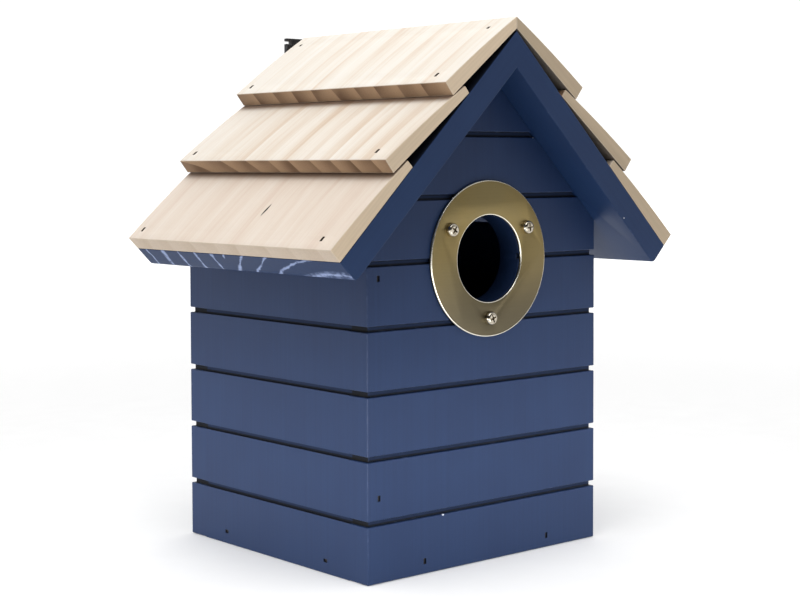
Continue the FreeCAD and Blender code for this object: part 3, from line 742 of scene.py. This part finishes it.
def make_boards():
    for side, word in HANDS:
        for level, grain in BOARDS.items():
            node = "%s_%s_board" % (word, level)
            low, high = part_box(node)
            shape = solid_copy(node)
            mark_holes(shape)
            ease(shape, BOARD_EASE)
            grain = dict(grain, ripped=RIPPED_PALE)
            if level in LAPPED_BY:
                grain["lapped"] = lap_line(word, level, grain["tilt"])
            if side > 0:
                grain["pith"] = (RIGHT_PITH_SHIFT - grain["pith"][0], grain["pith"][1])
                # painted shade: darker side faces on the right boards
                grain["ripped"] = RIPPED_SHADED
            elif level == "lower":
                grain["slit"] = LEFT_LOWER_SLIT
            pine = bare_pine("pine_" + node, (low + high) / 2, side, **grain)
            finished(node + "_planed", shape, pine, "house", [node])


# ---------------------------------------------------------------- metalwork


def make_ring():
    shape = solid_copy("entrance_plate")
    ease(shape, RING_EASE, steps=3)
    brass = brushed_brass()
    finished("entrance_ring", shape, brass, "house", ["entrance_plate"], 40)


def screw_head(maker):
    """Domed head standing on the origin, open to the cross recess cut into its crown."""
    high, radius = maker.size("Head Height"), maker.size("Head Radius")
    axis = maker.node("GeometryNodeCurvePrimitiveLine", None, {
        "Start": (0, 0, 0), "End": maker.vector(0.0, 0.0, high)})
    axis = maker.node("GeometryNodeResampleCurve", None, {"Curve": axis.outputs[0], "Count": 16})
    up = Value(maker, maker.node("GeometryNodeSplineParameter").outputs["Factor"])
    dome = radius * (CROWN + (1.0 - CROWN) * (1.0 - up ** 2.6).at_least(0.0).root())
    round_profile = maker.node("GeometryNodeCurvePrimitiveCircle", None, {
        "Resolution": 40, "Radius": 1.0})
    head = maker.node("GeometryNodeCurveToMesh", None, {
        "Curve": axis.outputs[0], "Profile Curve": round_profile.outputs[0], "Scale": dome,
        "Fill Caps": True})
    return maker.node("GeometryNodeMeshBoolean", {"operation": "DIFFERENCE", "solver": "EXACT"}, {
        "Mesh 1": head.outputs[0], "Mesh 2": cross_recess(maker, high).outputs[0],
        "Self Intersection": True})


def cross_recess(maker, high):
    """Two crossed bars and a cone to cut out of a head whose crown is at this height."""
    span, wide, deep = (maker.size("Recess " + way) for way in ("Span", "Width", "Depth"))
    cutters = maker.node("GeometryNodeJoinGeometry")
    for size in (maker.vector(span, wide, deep * 2.0), maker.vector(wide, span, deep * 2.0)):
        bar = maker.node("GeometryNodeMeshCube", None, {"Size": size})
        bar = maker.node("GeometryNodeTransform", None, {
            "Geometry": bar.outputs[0], "Translation": maker.vector(0.0, 0.0, high)})
        maker.tree.links.new(bar.outputs[0], cutters.inputs[0])
    pit = maker.node("GeometryNodeMeshCone", None, {
        "Vertices": 12, "Radius Top": wide * 1.15, "Radius Bottom": wide * 0.3,
        "Depth": deep * 1.4})
    pit = maker.node("GeometryNodeTransform", None, {
        "Geometry": pit.outputs[0], "Translation": maker.vector(0.0, 0.0, high - deep * 1.3)})
    maker.tree.links.new(pit.outputs[0], cutters.inputs[0])
    return cutters


def pan_head_screws(name, material, facing, long):
    """Tree for cross-recessed pan-head screws standing on points, heads along 'facing'."""
    maker = Maker(name, {
        "Head Radius": HEAD_RADIUS, "Head Height": HEAD_HIGH, "Shank Radius": SHANK_RADIUS,
        "Length": long, "Recess Span": 3.0 * MM, "Recess Width": 0.62 * MM,
        "Recess Depth": 1.0 * MM, "Facing": facing, "Finish": material,
    })
    long = maker.size("Length")
    shank = maker.node("GeometryNodeMeshCylinder", None, {
        "Vertices": 20, "Radius": maker.size("Shank Radius"), "Depth": long})
    shank = maker.node("GeometryNodeTransform", None, {
        "Geometry": shank.outputs[0],
        "Translation": maker.vector(0.0, 0.0, long * -0.5 + 0.01 * MM)})
    whole = maker.node("GeometryNodeJoinGeometry", None, {0: screw_head(maker).outputs[0]})
    maker.tree.links.new(shank.outputs[0], whole.inputs[0])
    aim = maker.node("FunctionNodeEulerToRotation", None, {0: maker.size("Facing")})
    placed = maker.node("GeometryNodeInstanceOnPoints", None, {
        "Points": maker.given["Geometry"], "Instance": whole.outputs[0],
        "Rotation": aim.outputs[0]})
    turn = maker.node("GeometryNodeInputNamedAttribute", {"data_type": "FLOAT"}, {"Name": "turn"})
    twist = maker.node("FunctionNodeAxisAngleToRotation", None, {
        "Axis": (0, 0, 1), "Angle": turn.outputs["Attribute"]})
    placed = maker.node("GeometryNodeRotateInstances", None, {
        "Instances": placed.outputs[0], "Rotation": twist.outputs[0], "Local Space": True})
    real = maker.node("GeometryNodeRealizeInstances", None, {0: placed.outputs[0]})
    done = maker.node("GeometryNodeSetMaterial", None, {
        "Geometry": real.outputs[0], "Material": maker.given["Finish"]})
    maker.node("NodeGroupOutput", None, {0: done.outputs[0]})
    return maker


def islands(node):
    """Boxes of a CAD node's separate solids, lowest first."""
    shape = solid_copy(node)
    boxes, left = [], set(shape.verts)
    while left:
        found, waiting = [], [left.pop()]
        while waiting:
            vert = waiting.pop()
            found.append(vert.co.copy())
            for link in vert.link_edges:
                other = link.other_vert(vert)
                if other in left:
                    left.remove(other)
                    waiting.append(other)
        boxes.append([
            Vector([pick(place[axis] for place in found) for axis in range(3)])
            for pick in (min, max)
        ])
    shape.free()
    return sorted(boxes, key=lambda box: (round(box[0].z, 5), box[0].x))


def make_screws(black, nickel):
    """Cross-recessed screws in place of the plain CAD ones, standing on the same seats."""
    quarter = math.pi / 2
    for node, outward, facing, material, slot, turns in (
        ("plate_screws", -Y_AXIS, (quarter, 0, 0), nickel, "nickel_screw", (0.35, 0.95, 0.15)),
        ("button_screw", X_AXIS, (0, quarter, 0), nickel, "nickel_screw", (0.6,)),
        ("hanger_screws", Y_AXIS, (-quarter, 0, 0), black, "black_steel", (0.2, 0.8)),
    ):
        name = node + "_turned"
        points = []
        for (low, high), turn in zip(islands(node), turns):
            middle, reach = (low + high) / 2, (high - low) / 2
            half = abs(reach.dot(outward))
            points.append((middle + outward * (half - HEAD_HIGH), turn))
        screws = pan_head_screws(name, material, Vector(facing), 2 * half - HEAD_HIGH)
        shape = bmesh.new()
        shape.from_mesh(screws.mesh_on(points))
        bmesh.ops.recalc_face_normals(shape, faces=shape.faces)
        finished(name, shape, material, "house", [node], 30)


def make_steelwork():
    black, steel, nickel = black_steel(), brad_steel(), bright_nickel()
    for node, body, radius, material, slot in (
        ("hanger_plate", "house", HANGER_EASE, black, "black_steel"),
        ("door_button", "door_button", BUTTON_EASE, black, "black_steel"),
        ("button_washer", "house", WASHER_EASE, nickel, "nickel_screw"),
    ):
        shape = solid_copy(node)
        ease(shape, radius, steps=3)
        finished(node + "_made", shape, material, body, [node], 35)
    make_screws(black, nickel)
    for node in ("wall_nails", "floor_nails", "left_board_nails", "right_board_nails",
                 "left_panel_nails", "right_panel_nails", "pivot_pins"):
        shape = solid_copy(node)
        ease(shape, BRAD_EASE)
        finished(node + "_driven", shape, steel, "house", [node], 35)


# ---------------------------------------------------------------- camera, light and floor

CAMERA_PLACE = Vector((-412.0, -486.7, 146.7)) * MM
CAMERA_TURN, CAMERA_DIP, CAMERA_ROLL = (
    math.radians(angle) for angle in (40.586, 2.756, -0.178))
LENS, FILM_WIDE, FILM_SHIFT = 73.02, 36.0, -0.0722
# the studio is bright behind the house and overhead, and dim in front of it
BRIGHT_SIDE = (0.6, 0.7, 0.4)
DIM, BRIGHT = 0.05, 1.1
LOW, LOW_AWAY = 0.035, 0.16
# place, what it points at, width, height, power in watts and spread in degrees
SOFT_LIGHTS = {
    "key_light": ((-0.4, -0.4, 1.2), (0, 0, 0.12), 0.9, 0.9, 8.6, 180),
    "low_front": ((0, FRONT - LOW_AWAY, LOW), (0, FRONT, LOW), 0.34, 0.05, 0.095, 66),
    "low_left": ((-SIDE - LOW_AWAY, 0, LOW), (-SIDE, 0, LOW), 0.34, 0.05, 0.095, 66),
    "eave_glow": ((0.08, 0.015, 0.004), (0.074, 0, 0.115), 0.03, 0.13, 0.03, 110),
}
FLOOR_RADIUS = 8.0


def set_camera():
    """Camera at the height of the eaves, in front and to the left of the house."""
    forward = Vector((
        math.sin(CAMERA_TURN) * math.cos(CAMERA_DIP),
        math.cos(CAMERA_TURN) * math.cos(CAMERA_DIP),
        -math.sin(CAMERA_DIP),
    ))
    level = Vector((math.cos(CAMERA_TURN), -math.sin(CAMERA_TURN), 0))
    upward = level.cross(forward)
    right = math.cos(CAMERA_ROLL) * level + math.sin(CAMERA_ROLL) * upward
    upright = math.cos(CAMERA_ROLL) * upward - math.sin(CAMERA_ROLL) * level
    data = bpy.data.cameras.new("camera")
    data.lens = LENS
    data.sensor_width = FILM_WIDE
    data.shift_y = FILM_SHIFT
    data.clip_start = 0.01
    camera = bpy.data.objects.new("camera", data)
    bpy.context.scene.collection.objects.link(camera)
    pose = Matrix((right, upright, -forward)).transposed().to_4x4()
    pose.translation = CAMERA_PLACE
    camera.matrix_world = pose
    bpy.context.scene.camera = camera


def set_lights():
    """Soft rectangular lights: one overhead, low ones for the walls and one under the eave."""
    for name, (place, target, wide, high, power, spread) in SOFT_LIGHTS.items():
        data = bpy.data.lights.new(name, "AREA")
        data.spread = math.radians(spread)
        data.shape = "RECTANGLE"
        data.size, data.size_y = wide, high
        data.energy = power
        light = bpy.data.objects.new(name, data)
        light.visible_camera = False
        light.location = place
        aim = Vector(target) - Vector(place)
        light.rotation_euler = aim.to_track_quat("-Z", "Y").to_euler()
        bpy.context.scene.collection.objects.link(light)


def set_studio():
    """White surroundings that fade towards the front."""
    world = bpy.data.worlds.new("studio")
    bpy.context.scene.world = world
    world.use_nodes = True
    world.node_tree.nodes.clear()
    tree = Tree(world.node_tree)
    coords = tree.node("ShaderNodeTexCoord")
    behind = tree.node("ShaderNodeVectorMath", {"operation": "DOT_PRODUCT"}, {
        0: coords.outputs["Generated"], 1: BRIGHT_SIDE})
    strength = tree.node("ShaderNodeMapRange", {"interpolation_type": "SMOOTHSTEP"}, {
        "Value": behind.outputs["Value"], "From Min": -0.5, "From Max": 0.7,
        "To Min": DIM, "To Max": BRIGHT})
    sky = tree.node("ShaderNodeBackground", None, {
        "Color": (1, 1, 1, 1), "Strength": strength.outputs["Result"]})
    tree.node("ShaderNodeOutputWorld", None, {"Surface": sky.outputs[0]})
    bpy.context.scene.view_settings.view_transform = "Standard"


def floor_paper():
    """Matt pale floor with a glow that grows away from the house and keeps it plain."""
    finish = Finish("pale_floor")
    grain = finish.noise(finish.place, 0.02, 3.0)
    far = finish.distance((0, 0, 0)).rise(0.25, 1.6)
    return finish.surface(
        Base_Color=finish.mix(grain, rgb(240, 240, 240), rgb(246, 246, 246)),
        Roughness=0.9,
        Emission_Color=finish.mix(far, rgb(100, 100, 100), rgb(255, 255, 255)),
        Emission_Strength=0.6,
    )


def lay_floor():
    shape = bmesh.new()
    bmesh.ops.create_circle(shape, cap_ends=True, radius=FLOOR_RADIUS, segments=64)
    mesh = bpy.data.meshes.new("floor")
    shape.to_mesh(mesh)
    shape.free()
    mesh.transform(Matrix.Translation((0, 0, -0.2 * MM)))
    mesh.materials.append(floor_paper())
    floor = bpy.data.objects.new("floor", mesh)
    bpy.context.scene.collection.objects.link(floor)


make_walls()
make_roof_panels()
make_boards()
make_ring()
make_steelwork()
paint_floor_panel()
set_camera()
set_studio()
set_lights()
lay_floor()
